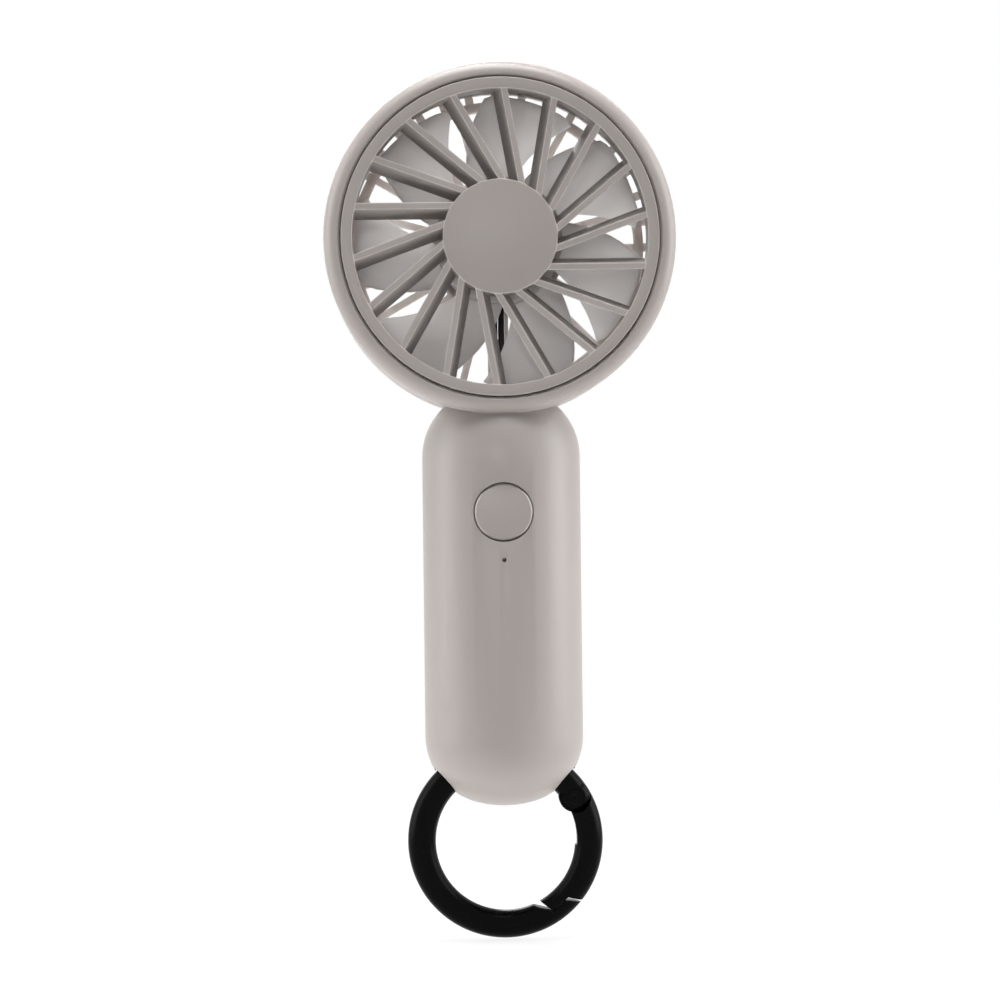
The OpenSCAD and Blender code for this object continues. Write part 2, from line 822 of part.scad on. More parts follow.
module stator_core() {
    tooth_from = core_r + core_w / 2;
    tooth_to = stator_r - shoe_t / 2;
    color(steel_colour) {
        head_tube(core_r, core_r + core_w, rotor_mid - stator_h / 2, rotor_mid + stator_h / 2);
        about_head() translate([0, 0, rotor_mid - stator_h / 2]) for (i = [0:pole_count - 1]) {
            rotate([0, 0, i * 360 / pole_count]) translate([tooth_from, -tooth_w / 2, 0]) {
                cube([tooth_to - tooth_from, tooth_w, stator_h]);
            }
        }
        difference() {
            head_tube(stator_r - shoe_t, stator_r, rotor_mid - stator_h / 2, rotor_mid + stator_h / 2);
            about_head() for (i = [0:pole_count - 1]) rotate([0, 0, (i + 0.5) * 360 / pole_count]) {
                translate([0, -shoe_gap / 2, -reach]) cube([reach, shoe_gap, 2 * reach]);
            }
        }
    }
}

module stator_coils() {
    coil_w = tooth_w + 2 * coil_over;
    inner_r = core_r + core_w + coil_gap;
    outer_r = sqrt(pow(stator_r - shoe_t - coil_gap, 2) - pow(coil_w / 2, 2));
    color(copper_colour) about_head() for (i = [0:pole_count - 1]) rotate([0, 0, i * 360 / pole_count]) {
        translate([(inner_r + outer_r) / 2, 0, rotor_mid]) difference() {
            cube([outer_r - inner_r, coil_w, stator_h + 2 * coil_over], center = true);
            cube([outer_r, tooth_w + 2 * seat_gap, stator_h + 2 * seat_gap], center = true);
        }
    }
}

module motor_board() {
    color(board_colour) head_tube(core_r, motor_board_r, motor_board_front, shoulder_y);
}

module motor_leads() {
    color(black_colour) for (side = [-1, 1]) wire(lead_path(side * lead_x), lead_r);
}

module button_cap() {
    color(shell_colour) {
        depth_rod(0, button_z, button_r, button_face + button_edge, button_back);
        translate([0, button_face, button_z]) rotate([-90, 0, 0]) {
            cylinder(r1 = button_r - button_edge, r2 = button_r, h = button_edge);
        }
        depth_rod(0, button_z, button_r + flange_lip, button_back, plunger_front);
    }
}

module switch_plunger() {
    color(black_colour) depth_rod(0, button_z, plunger_r, plunger_front, switch_front + plunger_in);
}

module tact_switch() {
    plunger_end = switch_front + plunger_in;
    color(black_colour) difference() {
        block([-switch_w / 2, switch_front, button_z - switch_w / 2],
            [switch_w / 2, -board_y, button_z + switch_w / 2]);
        depth_rod(0, button_z, plunger_r + plunger_gap, switch_front - cut_over, plunger_end + plunger_room);
    }
}

module main_board() {
    color(board_colour) difference() {
        block([-board_w / 2, -board_y, board_top - board_l], [board_w / 2, board_back, board_top]);
        for (side = [-1, 1]) {
            depth_rod(side * board_screw_x, board_screw_z, board_screw_r + screw_gap, -reach, 0);
        }
    }
}

module board_chips() {
    foot_z = board_top - board_l;
    chips = [[-chip_x, chip_rise, chip_w], [chip_x, chip_rise, small_chip_w],
        [-chip_x, upper_chip_rise, small_chip_w]];
    color(black_colour) for (chip = chips) {
        block([chip[0] - chip[2] / 2, -board_y - chip_h, foot_z + chip[1]],
            [chip[0] + chip[2] / 2, -board_y, foot_z + chip[1] + chip[2]]);
    }
}

module status_led() {
    led_w = 1.6;
    color("white") {
        block([-led_w / 2, -board_y - led_h, led_z - led_w / 2], [led_w / 2, -board_y, led_z + led_w / 2]);
    }
}

module led_window() {
    recess = 0.4;
    pipe_r = 1;
    pipe_gap = 0.1;
    pipe_front = wall - grip_r + pipe_gap;
    color(black_colour) {
        depth_rod(0, led_z, led_r, recess - grip_r, pipe_front + pipe_r);
        depth_rod(0, led_z, pipe_r, pipe_front, -board_y - led_h);
    }
}

module usb_board() {
    color(board_colour) {
        block([-usb_board_w / 2, usb_board_front, usb_board_top - board_t],
            [usb_board_w / 2, grip_r - wall - usb_board_room, usb_board_top]);
    }
}

// Round-ended socket section drawn from the mouth towards the front
module usb_bar(w, h, from_y, to_y) {
    translate([0, to_y, usb_z]) rotate([90, 0, 0]) linear_extrude(height = to_y - from_y) stadium(w, h);
}

module usb_shell() {
    inside_w = usb_w - 2 * usb_wall;
    inside_h = usb_h - 2 * usb_wall;
    color(steel_colour) difference() {
        usb_bar(usb_w, usb_h, usb_mouth - usb_l, usb_mouth);
        usb_bar(inside_w, inside_h, usb_mouth - usb_l + usb_wall, usb_mouth + cut_over);
    }
}

module usb_tongue() {
    tongue_w = 6.7;
    tongue_t = 0.7;
    tongue_l = 5.4;
    color(black_colour) {
        block([-tongue_w / 2, usb_mouth - usb_l + usb_wall, usb_z - tongue_t / 2],
            [tongue_w / 2, usb_mouth - usb_l + usb_wall + tongue_l, usb_z + tongue_t / 2]);
    }
}

// Cell as a plain rod, made wider by a margin
module cell_rod(margin) {
    translate([0, cell_y, cell_bottom]) cylinder(r = cell_r + margin, h = cell_top - cell_bottom);
}

module battery_cell() {
    color(cell_colour) {
        cell_rod(0);
        translate([0, cell_y, cell_top - cut_over]) cylinder(r = nub_r, h = nub_h + cut_over);
    }
}

module battery_tabs() {
    tab_w = 7;
    upper_z = cell_top + nub_h;
    color(nickel_colour) {
        block([-tab_w / 2, cell_y - tab_w, upper_z], [tab_w / 2, cell_y + nub_r, upper_z + tab_t]);
        block([-tab_w / 2, cell_y - tab_w, cell_bottom - tab_t], [tab_w / 2, cell_y + nub_r, cell_bottom]);
    }
}

module battery_leads() {
    lead_side = 2.5;
    upper_z = cell_top + nub_h + tab_t + wire_r;
    lower_z = cell_bottom - tab_t - wire_r;
    board_mid = board_back - board_t / 2;
    foot_z = board_top - board_l;
    color(black_colour) {
        wire([[lead_side, cell_y, upper_z], [lead_side, board_back, upper_z]], wire_r);
        wire([[-lead_side, cell_y, lower_z], [-lead_side, board_mid, lower_z],
            [-lead_side, board_mid, foot_z]], wire_r);
    }
}

module battery_pads() {
    pad_w = 10;
    pad_l = 30;
    pad_rise = 6;
    pad_wrap = 1.8;
    pad_mid = (cell_top + cell_bottom) / 2;
    pad_top = pad_mid + pad_l / 2;
    pad_foot = pad_mid - pad_l / 2;
    color(foam_colour) difference() {
        union() {
            block([-pad_w / 2, board_back, max(pad_foot, board_top - board_l + pad_rise)],
                [pad_w / 2, cell_y - cell_r + pad_wrap, pad_top]);
            intersection() {
                block([-pad_w / 2, cell_y + cell_r - pad_wrap, pad_foot], [pad_w / 2, grip_r, pad_top]);
                cylinder(r = grip_r - wall - seat_gap, h = reach, center = true);
            }
        }
        cell_rod(seat_gap);
    }
}

// Round-headed screw along Y, with its head's underside on the seat and a cross cut in its head
module screw(x, z, seat, r, head_r, head_h, length) {
    cross_w = 0.5;
    cross_inset = 0.8;
    cross_l = 2 * (head_r - cross_inset);
    difference() {
        union() {
            depth_rod(x, z, r, seat - length, seat);
            depth_rod(x, z, head_r, seat, seat + head_h);
        }
        translate([x, seat + head_h, z]) {
            cube([cross_w, head_h, cross_l], center = true);
            cube([cross_l, head_h, cross_w], center = true);
        }
    }
}

module case_screws() {
    color(steel_colour) for (p = screw_places) {
        screw(p[0], p[1], p[2], screw_r, screw_head_r, screw_head_h, p[2] + screw_bite);
    }
}

module board_screws() {
    color(steel_colour) for (side = [-1, 1]) {
        screw(side * board_screw_x, board_screw_z, board_back, board_screw_r, board_screw_head_r,
            board_screw_head_h, board_t + board_screw_l);
    }
}

// Places children in the plane of the ring, with X to the right, Y up and Z to the front
module in_ring_plane() {
    translate([0, 0, ring_z]) rotate([90, 0, 0]) children();
}

// Places children at the gate's pin, with X outwards and Y along the ring's upper arm
module at_pin() {
    in_ring_plane() rotate([0, 0, pin_angle]) translate([pin_orbit, 0, 0]) children();
}

// Rod along the pin, centred on the ring's plane
module pin_rod(r, half) {
    at_pin() cylinder(r = r, h = 2 * half, center = true);
}

// Knuckle around the pin, with its edges taken off so that it swings past the foot of the grip
module knuckle() {
    flat_r = knuckle_r - knuckle_edge;
    flat_y = cheek_y - knuckle_edge;
    at_pin() rotate_extrude() {
        polygon([[0, -cheek_y], [flat_r, -cheek_y], [knuckle_r, -flat_y], [knuckle_r, flat_y],
            [flat_r, cheek_y], [0, cheek_y]]);
    }
}

// Outline of the gate, from the pin to its half-lapped end, with a clearance for the ring's side of the lap
module gate_zone(gap, gap_a, relief_a) {
    far = ring_out + ring_margin;
    near = ring_in - ring_margin;
    mid_a = (pin_angle + lap_outer_a) / 2;
    in_ring_plane() linear_extrude(height = 4 * ring_wire_r, center = true) {
        polygon([polar(near, pin_angle), polar(far, pin_angle), polar(far, mid_a),
            polar(far, lap_outer_a - gap_a), polar(ring_r + gap, lap_step_a - gap_a - relief_a),
            polar(ring_r + gap, lap_end_a), polar(near, lap_tip_a), polar(near, mid_a)]);
    }
}

// Space that the gate's nose sweeps on its way inwards
module nose_sweep() {
    from_a = lap_step_a - gate_gap_a - lap_relief_a;
    in_ring_plane() linear_extrude(height = 4 * ring_wire_r, center = true) intersection() {
        circle(r = ring_r + gate_gap);
        translate(polar(pin_orbit, pin_angle)) circle(r = nose_reach + gate_gap);
        polygon([[0, 0], polar(2 * ring_r, from_a), polar(2 * ring_r, sweep_end_a)]);
    }
}

module ring_hoop() {
    translate([0, 0, eye_z]) ring_torus(ring_wire_r);
}

module ring_body() {
    color(black_colour) difference() {
        union() {
            difference() {
                ring_hoop();
                gate_zone(gate_gap, gate_gap_a, lap_relief_a);
                nose_sweep();
            }
            knuckle();
        }
        pin_rod(tongue_r + gate_gap, slot_half);
        pin_rod(pin_r, reach);
        for (side = [-1, 1]) at_pin() translate([0, 0, side * (cheek_y + reach / 2)]) {
            cylinder(r = rivet_r + gate_gap, h = reach, center = true);
        }
        at_pin() translate([-spring_offset, 0, 0]) rotate([-90, 0, 0]) {
            cylinder(r = spring_r + spring_gap, h = heel + 2 * spring_gap + spring_l);
        }
    }
}

module ring_gate() {
    color(black_colour) difference() {
        union() {
            difference() {
                intersection() {
                    ring_hoop();
                    gate_zone(0, 0, 0);
                }
                pin_rod(knuckle_r + gate_gap, reach);
            }
            intersection() {
                ring_hoop();
                gate_zone(0, 0, 0);
                in_ring_plane() cube([reach, reach, 2 * tongue_half], center = true);
            }
            pin_rod(tongue_r, tongue_half);
        }
        pin_rod(pin_r + pin_gap, reach);
        at_pin() translate([-reach / 2, heel, -reach / 2]) cube(reach);
        in_ring_plane() rotate_extrude(angle = hollow_top_a - hollow_end_a, start = hollow_end_a) {
            translate([ring_in - gate_hollow, -ring_wire_r]) square([2 * gate_hollow, 2 * ring_wire_r]);
        }
    }
}

module gate_pin() {
    dimple = 0.2;
    color(black_colour) difference() {
        union() {
            pin_rod(pin_r, cheek_y);
            for (side = [-1, 1]) at_pin() translate([0, 0, side * (cheek_y + rivet_h / 2)]) {
                cylinder(r = rivet_r, h = rivet_h, center = true);
            }
        }
        at_pin() translate([0, 0, cheek_y + rivet_h - dimple]) cylinder(r = dimple_r, h = rivet_h);
    }
}

module gate_spring() {
    color(steel_colour) at_pin() translate([-spring_offset, heel + spring_gap, 0]) rotate([-90, 0, 0]) {
        difference() {
            cylinder(r = spring_r, h = spring_l);
            translate([0, 0, -cut_over]) cylinder(r = spring_bore, h = spring_l + 2 * cut_over);
        }
    }
}

front_shell();
rear_shell();
front_grille();
rear_grille();
impeller();
rotor_yoke();
rotor_magnet();
motor_shaft();
shaft_clip();
thrust_washer();
sleeve_bearing();
stator_core();
stator_coils();
motor_board();
motor_leads();
button_cap();
switch_plunger();
tact_switch();
main_board();
board_chips();
status_led();
led_window();
usb_board();
usb_shell();
usb_tongue();
battery_cell();
battery_tabs();
battery_leads();
battery_pads();
case_screws();
board_screws();
ring_body();
ring_gate();
gate_pin();
gate_spring();
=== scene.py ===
import math

import bpy
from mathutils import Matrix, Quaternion, Vector


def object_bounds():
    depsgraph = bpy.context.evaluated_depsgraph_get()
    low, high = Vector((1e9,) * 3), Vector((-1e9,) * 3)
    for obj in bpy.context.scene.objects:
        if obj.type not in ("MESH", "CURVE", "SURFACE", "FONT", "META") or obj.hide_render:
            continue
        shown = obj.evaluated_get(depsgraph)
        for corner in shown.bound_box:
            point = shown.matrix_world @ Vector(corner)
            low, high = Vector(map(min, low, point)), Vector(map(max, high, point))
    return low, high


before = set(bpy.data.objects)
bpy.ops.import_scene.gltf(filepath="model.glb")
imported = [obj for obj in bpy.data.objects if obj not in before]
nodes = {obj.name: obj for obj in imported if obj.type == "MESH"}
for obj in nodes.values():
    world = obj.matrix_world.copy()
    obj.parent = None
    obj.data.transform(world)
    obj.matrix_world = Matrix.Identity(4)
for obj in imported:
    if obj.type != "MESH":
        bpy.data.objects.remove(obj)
cadBox = [list(corner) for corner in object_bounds()]
mm = 0.001
print("loaded", len(nodes), "nodes")


# Camera: straight on, a little to the left, with the slight lean of the photo
cameraView = {"place": (-0.0151, -0.570, 0.0196), "aim": (-0.0003, 0.0, 0.0196), "roll": -0.68, "lens": 100.5,
              "clipStart": 0.01}

def addCamera(view):
    data = bpy.data.cameras.new("camera")
    data.sensor_fit = "HORIZONTAL"
    data.lens = view["lens"]
    data.clip_start = view["clipStart"]
    camera = bpy.data.objects.new("camera", data)
    camera.location = view["place"]
    gaze = (Vector(view["aim"]) - Vector(view["place"])).to_track_quat("-Z", "Y")
    camera.rotation_mode = "QUATERNION"
    camera.rotation_quaternion = gaze @ Quaternion((0, 0, 1), math.radians(view["roll"]))
    bpy.context.scene.collection.objects.link(camera)
    bpy.context.scene.camera = camera

addCamera(cameraView)
print("camera placed")


# Shader helpers
def link(tree, output, socket):
    tree.links.new(output, socket)

def addNode(tree, kind, place=(0, 0), **values):
    node = tree.nodes.new(kind)
    node.location = place
    for name, value in values.items():
        setattr(node, name, value)
    return node

def newGroup(name, inputs, outputs):
    group = bpy.data.node_groups.new(name, "ShaderNodeTree")
    kinds = {"colour": "NodeSocketColor", "value": "NodeSocketFloat"}
    for label, kind in inputs:
        group.interface.new_socket(name=label, in_out="INPUT", socket_type=kinds[kind])
    for label, kind in outputs:
        group.interface.new_socket(name=label, in_out="OUTPUT", socket_type=kinds[kind])
    start = addNode(group, "NodeGroupInput", (-900, 0))
    end = addNode(group, "NodeGroupOutput", (600, 0))
    return group, start.outputs, end.inputs

def mathNode(tree, operation, first, second, place):
    node = addNode(tree, "ShaderNodeMath", place, operation=operation)
    for socket, value in zip(node.inputs, (first, second)):
        if isinstance(value, (int, float)):
            socket.default_value = value
        else:
            link(tree, value, socket)
    return node.outputs[0]

def noiseNode(tree, coords, scale, detail, place):
    node = addNode(tree, "ShaderNodeTexNoise", place)
    node.inputs["Detail"].default_value = detail
    link(tree, coords, node.inputs["Vector"])
    if isinstance(scale, (int, float)):
        node.inputs["Scale"].default_value = scale
    else:
        link(tree, scale, node.inputs["Scale"])
    return node.outputs["Fac"]

def shiftAround(tree, noise, swing, middle, place):
    # middle + (noise - 0.5) * swing
    x, y = place
    centred = mathNode(tree, "SUBTRACT", noise, 0.5, place)
    spread = mathNode(tree, "MULTIPLY", centred, swing, (x + 160, y))
    return mathNode(tree, "ADD", spread, middle, (x + 320, y))

def shadeColour(tree, colour, level, place):
    mix = addNode(tree, "ShaderNodeMix", place, data_type="RGBA", blend_type="MULTIPLY")
    mix.inputs["Factor"].default_value = 1.0
    link(tree, colour, mix.inputs["A"])
    link(tree, level, mix.inputs["B"])
    return mix.outputs["Result"]


# Spark-eroded mould texture: fine pits over a slow cloud of shade
cloudScale = 90.0

def mouldGrain():
    group, given, result = newGroup(
        "mouldGrain",
        [("Colour", "colour"), ("Shade Swing", "value"), ("Grain Scale", "value"), ("Roughness", "value"),
         ("Roughness Swing", "value")],
        [("Colour", "colour"), ("Roughness", "value"), ("Height", "value")])
    coords = addNode(group, "ShaderNodeTexCoord", (-900, 300)).outputs["Object"]
    grain = noiseNode(group, coords, given["Grain Scale"], 3.0, (-600, 300))
    cloud = noiseNode(group, coords, cloudScale, 2.0, (-600, 0))
    speck = mathNode(group, "MULTIPLY", mathNode(group, "ADD", grain, cloud, (-400, 150)), 0.5, (-250, 150))
    level = shiftAround(group, speck, given["Shade Swing"], 1.0, (-150, 100))
    link(group, shadeColour(group, given["Colour"], level, (300, 100)), result["Colour"])
    matt = shiftAround(group, grain, given["Roughness Swing"], given["Roughness"], (-150, -150))
    link(group, matt, result["Roughness"])
    link(group, grain, result["Height"])
    return group

# Drawn or rolled metal: long fine lines along one axis
lineStretch = (1.0, 0.06, 1.0)

def drawnLines():
    group, given, result = newGroup(
        "drawnLines",
        [("Colour", "colour"), ("Shade Swing", "value"), ("Line Scale", "value"), ("Roughness", "value"),
         ("Roughness Swing", "value")],
        [("Colour", "colour"), ("Roughness", "value"), ("Height", "value")])
    coords = addNode(group, "ShaderNodeTexCoord", (-1100, 300)).outputs["Object"]
    stretch = addNode(group, "ShaderNodeMapping", (-850, 300))
    stretch.inputs["Scale"].default_value = lineStretch
    link(group, coords, stretch.inputs["Vector"])
    lines = noiseNode(group, stretch.outputs["Vector"], given["Line Scale"], 4.0, (-600, 300))
    level = shiftAround(group, lines, given["Shade Swing"], 1.0, (-150, 100))
    link(group, shadeColour(group, given["Colour"], level, (300, 100)), result["Colour"])
    matt = shiftAround(group, lines, given["Roughness Swing"], given["Roughness"], (-150, -150))
    link(group, matt, result["Roughness"])
    link(group, lines, result["Height"])
    return group

# Edge wear and painted highlight: a broken mask where the surface turns sharply. It paints the grille's edges
# lighter as a highlight and rubs the ring's enamel grey as wear
edgeWearAndHighlightSet = {"reach": 0.35 * mm, "patchScale": 900.0}
bevelSamples = 6

def edgeWearAndHighlight():
    group, given, result = newGroup("edgeWearAndHighlight", [("Amount", "value")], [("Mask", "value")])
    rounded = addNode(group, "ShaderNodeBevel", (-700, 200), samples=bevelSamples)
    rounded.inputs["Radius"].default_value = edgeWearAndHighlightSet["reach"]
    facing = addNode(group, "ShaderNodeNewGeometry", (-700, 0))
    alike = addNode(group, "ShaderNodeVectorMath", (-500, 100), operation="DOT_PRODUCT")
    link(group, rounded.outputs["Normal"], alike.inputs[0])
    link(group, facing.outputs["Normal"], alike.inputs[1])
    turn = mathNode(group, "SUBTRACT", 1.0, alike.outputs["Value"], (-320, 100))
    coords = addNode(group, "ShaderNodeTexCoord", (-700, -200)).outputs["Object"]
    patchy = noiseNode(group, coords, edgeWearAndHighlightSet["patchScale"], 3.0, (-500, -200))
    edge = mathNode(group, "MULTIPLY", turn, patchy, (-160, 50))
    strong = mathNode(group, "MULTIPLY", edge, given["Amount"], (0, 50))
    clipped = addNode(group, "ShaderNodeClamp", (180, 50))
    link(group, strong, clipped.inputs["Value"])
    link(group, clipped.outputs["Result"], result["Mask"])
    return group

grainGroup = mouldGrain()
linesGroup = drawnLines()
edgeWearAndHighlightGroup = edgeWearAndHighlight()
print("shader groups built")


def startMaterial(name):
    material = bpy.data.materials.new(name)
    material.use_nodes = True
    tree = material.node_tree
    return material, tree, tree.nodes["Principled BSDF"]

def placeGroup(tree, group, values, place):
    node = addNode(tree, "ShaderNodeGroup", place)
    node.node_tree = group
    for label, value in values.items():
        node.inputs[label].default_value = (*value, 1.0) if isinstance(value, tuple) else value
    return node

def addBump(tree, shader, height, strength, distance, rounding=0.0):
    bump = addNode(tree, "ShaderNodeBump", (-250, -250))
    if rounding:
        rounded = addNode(tree, "ShaderNodeBevel", (-450, -350), samples=bevelSamples)
        rounded.inputs["Radius"].default_value = rounding
        link(tree, rounded.outputs["Normal"], bump.inputs["Normal"])
    bump.inputs["Strength"].default_value = strength
    bump.inputs["Distance"].default_value = distance
    link(tree, height, bump.inputs["Height"])
    link(tree, bump.outputs["Normal"], shader.inputs["Normal"])

# paints the edge colour over the base colour: a painted highlight on the grille, rubbed wear on the ring
def paintEdgeWearAndHighlight(tree, colour, wearAndHighlight):
    edges = placeGroup(tree, edgeWearAndHighlightGroup, {"Amount": wearAndHighlight["amount"]}, (-750, -200))
    wearAndHighlightMix = addNode(tree, "ShaderNodeMix", (-350, 150), data_type="RGBA")
    wearAndHighlightMix.inputs["B"].default_value = (*wearAndHighlight["colour"], 1.0)
    link(tree, edges.outputs["Mask"], wearAndHighlightMix.inputs["Factor"])
    link(tree, colour, wearAndHighlightMix.inputs["A"])
    return wearAndHighlightMix.outputs["Result"]

def texturedMaterial(name, group, look, sockets, bump, wearAndHighlight=None):
    # one group gives the colour, roughness and height; plain numbers sit on the shader itself
    # bump: strength, height and, where edges are shaded round, their radius
    material, tree, shader = startMaterial(name)
    surface = placeGroup(tree, group, look, (-750, 100))
    colour = surface.outputs["Colour"]
    # edge colour mixed in where given: a painted highlight on the grille, rubbed wear on the ring
    if wearAndHighlight:
        colour = paintEdgeWearAndHighlight(tree, colour, wearAndHighlight)
    link(tree, colour, shader.inputs["Base Color"])
    link(tree, surface.outputs["Roughness"], shader.inputs["Roughness"])
    for label, value in sockets.items():
        shader.inputs[label].default_value = value
    addBump(tree, shader, surface.outputs["Height"], *bump)
    return material


# Warm grey casing: matt, finely textured
mouldedGloss = {"Specular IOR Level": 0.45}
shellLook = {"Colour": (0.326, 0.293, 0.277), "Shade Swing": 0.05, "Grain Scale": 3800.0, "Roughness": 0.38,
             "Roughness Swing": 0.12}
shellPlastic = texturedMaterial(
    "shellPlastic", grainGroup, shellLook, mouldedGloss, (0.22, 0.05 * mm, 0.25 * mm))

# Grilles: the same resin, a little smoother
grilleLook = {"Colour": (0.304, 0.273, 0.257), "Shade Swing": 0.05, "Grain Scale": 4200.0, "Roughness": 0.45,
              "Roughness Swing": 0.10}
# painted highlight: the grille's edges are painted lighter where the surface turns, in place of light caught
# on rounded edges
grillePaintedHighlight = {"amount": 18.0, "colour": (0.640, 0.590, 0.562)}
grillePlastic = texturedMaterial(
    "grillePlastic", grainGroup, grilleLook, mouldedGloss, (0.15, 0.04 * mm, 0.3 * mm), grillePaintedHighlight)

# Blades: a thin, translucent moulding, polished enough to catch the light
bladeLook = {"Colour": (0.750, 0.686, 0.651), "Shade Swing": 0.03, "Grain Scale": 1500.0, "Roughness": 0.30,
             "Roughness Swing": 0.06}
bladeSockets = {"Specular IOR Level": 0.5, "Subsurface Weight": 1.0, "Subsurface Scale": 7.0 * mm,
                "Subsurface Radius": (1.0, 1.0, 1.0)}
bladePlastic = texturedMaterial(
    "bladePlastic", grainGroup, bladeLook, bladeSockets, (0.05, 0.03 * mm, 0.3 * mm))

# Rear cage: thicker, so that less light comes through
cageLook = {"Colour": (0.440, 0.399, 0.378), "Shade Swing": 0.04, "Grain Scale": 3200.0, "Roughness": 0.42,
            "Roughness Swing": 0.10}
cageSockets = {"Specular IOR Level": 0.45, "Subsurface Weight": 1.0, "Subsurface Scale": 6.0 * mm,
               "Subsurface Radius": (1.0, 1.0, 1.0)}
cagePlastic = texturedMaterial("cagePlastic", grainGroup, cageLook, cageSockets, (0.10, 0.04 * mm))

# Button: same colour as the casing, with a smoother face
buttonLook = {"Colour": (0.326, 0.293, 0.277), "Shade Swing": 0.04, "Grain Scale": 3800.0, "Roughness": 0.38,
              "Roughness Swing": 0.10}
buttonPlastic = texturedMaterial(
    "buttonPlastic", grainGroup, buttonLook, mouldedGloss, (0.18, 0.05 * mm, 0.2 * mm))


# Black stove enamel on the carrying ring, rubbed a little grey at its edges
enamelLook = {"Colour": (0.0015, 0.0015, 0.0015), "Shade Swing": 0.3, "Grain Scale": 2600.0,
              "Roughness": 0.25, "Roughness Swing": 0.12}
enamelRub = {"amount": 1.6, "colour": (0.03, 0.03, 0.03)}
ringBlack = texturedMaterial(
    "ringBlack", grainGroup, enamelLook, {"Specular IOR Level": 0.05}, (0.12, 0.05 * mm), enamelRub)


# Metals
def metalFinish(name, colour, roughness, lineScale):
    look = {"Colour": colour, "Shade Swing": 0.25, "Line Scale": lineScale, "Roughness": roughness,
            "Roughness Swing": 0.2}
    return texturedMaterial(name, linesGroup, look, {"Metallic": 1.0}, (0.06, 0.02 * mm))

steelPlain = metalFinish("steelPlain", (0.56, 0.57, 0.58), 0.30, 2400.0)
nickelStrip = metalFinish("nickelStrip", (0.66, 0.63, 0.57), 0.34, 1800.0)
bronzeSleeve = metalFinish("bronzeSleeve", (0.55, 0.36, 0.16), 0.42, 3000.0)
copperWire = metalFinish("copperWire", (0.72, 0.30, 0.13), 0.28, 5200.0)
magnetGrey = metalFinish("magnetGrey", (0.13, 0.13, 0.14), 0.55, 3600.0)


# Other hidden finishes
def plainFinish(name, colour, roughness, grainScale, swing):
    look = {"Colour": colour, "Shade Swing": swing, "Grain Scale": grainScale, "Roughness": roughness,
            "Roughness Swing": 0.14}
    return texturedMaterial(name, grainGroup, look, {}, (0.15, 0.05 * mm))

boardGreen = plainFinish("boardGreen", (0.014, 0.110, 0.045), 0.35, 1400.0, 0.35)
switchBlack = plainFinish("switchBlack", (0.013, 0.013, 0.014), 0.45, 3000.0, 0.3)
lensSmoke = plainFinish("lensSmoke", (0.006, 0.006, 0.007), 0.18, 900.0, 0.3)
jacketBlack = plainFinish("jacketBlack", (0.010, 0.010, 0.010), 0.50, 2200.0, 0.3)
cellSleeve = plainFinish("cellSleeve", (0.035, 0.130, 0.300), 0.28, 700.0, 0.15)
foamGrey = plainFinish("foamGrey", (0.030, 0.030, 0.032), 0.90, 2600.0, 0.5)
print("materials ready")


# Edges: weld the imported seams, round the edges, then shade smooth below a set angle
edgeSet = {"weld": 0.002 * mm, "bevelSteps": 2, "bevelFrom": 35, "sharpFrom": 32}

def smoothByAngle():
    tree = bpy.data.node_groups.new("smoothByAngle", "GeometryNodeTree")
    tree.interface.new_socket(name="Geometry", in_out="INPUT", socket_type="NodeSocketGeometry")
    tree.interface.new_socket(name="Geometry", in_out="OUTPUT", socket_type="NodeSocketGeometry")
    start = addNode(tree, "NodeGroupInput", (-600, 0))
    end = addNode(tree, "NodeGroupOutput", (500, 0))
    allFaces = addNode(tree, "GeometryNodeSetShadeSmooth", (-300, 0), domain="FACE")
    sharpEdges = addNode(tree, "GeometryNodeSetShadeSmooth", (200, 0), domain="EDGE")
    sharpEdges.inputs["Shade Smooth"].default_value = False
    angle = addNode(tree, "GeometryNodeInputMeshEdgeAngle", (-300, -200))
    isSharp = addNode(tree, "FunctionNodeCompare", (-50, -200), data_type="FLOAT", operation="GREATER_THAN")
    isSharp.inputs["B"].default_value = math.radians(edgeSet["sharpFrom"])
    link(tree, angle.outputs["Unsigned Angle"], isSharp.inputs["A"])
    link(tree, start.outputs[0], allFaces.inputs["Geometry"])
    link(tree, allFaces.outputs[0], sharpEdges.inputs["Geometry"])
    link(tree, isSharp.outputs["Result"], sharpEdges.inputs["Selection"])
    link(tree, sharpEdges.outputs[0], end.inputs[0])
    return tree

smoothTree = smoothByAngle()

def dress(name, material, edge=0.0):
    piece = nodes[name]
    piece.data.materials.clear()
    piece.data.materials.append(material)
    weld = piece.modifiers.new("weld", "WELD")
    weld.merge_threshold = edgeSet["weld"]
    if edge:
        bevel = piece.modifiers.new("edge", "BEVEL")
        bevel.width = edge * mm
        bevel.segments = edgeSet["bevelSteps"]
        bevel.limit_method = "ANGLE"
        bevel.angle_limit = math.radians(edgeSet["bevelFrom"])
        bevel.use_clamp_overlap = True
    smooth = piece.modifiers.new("smooth", "NODES")
    smooth.node_group = smoothTree

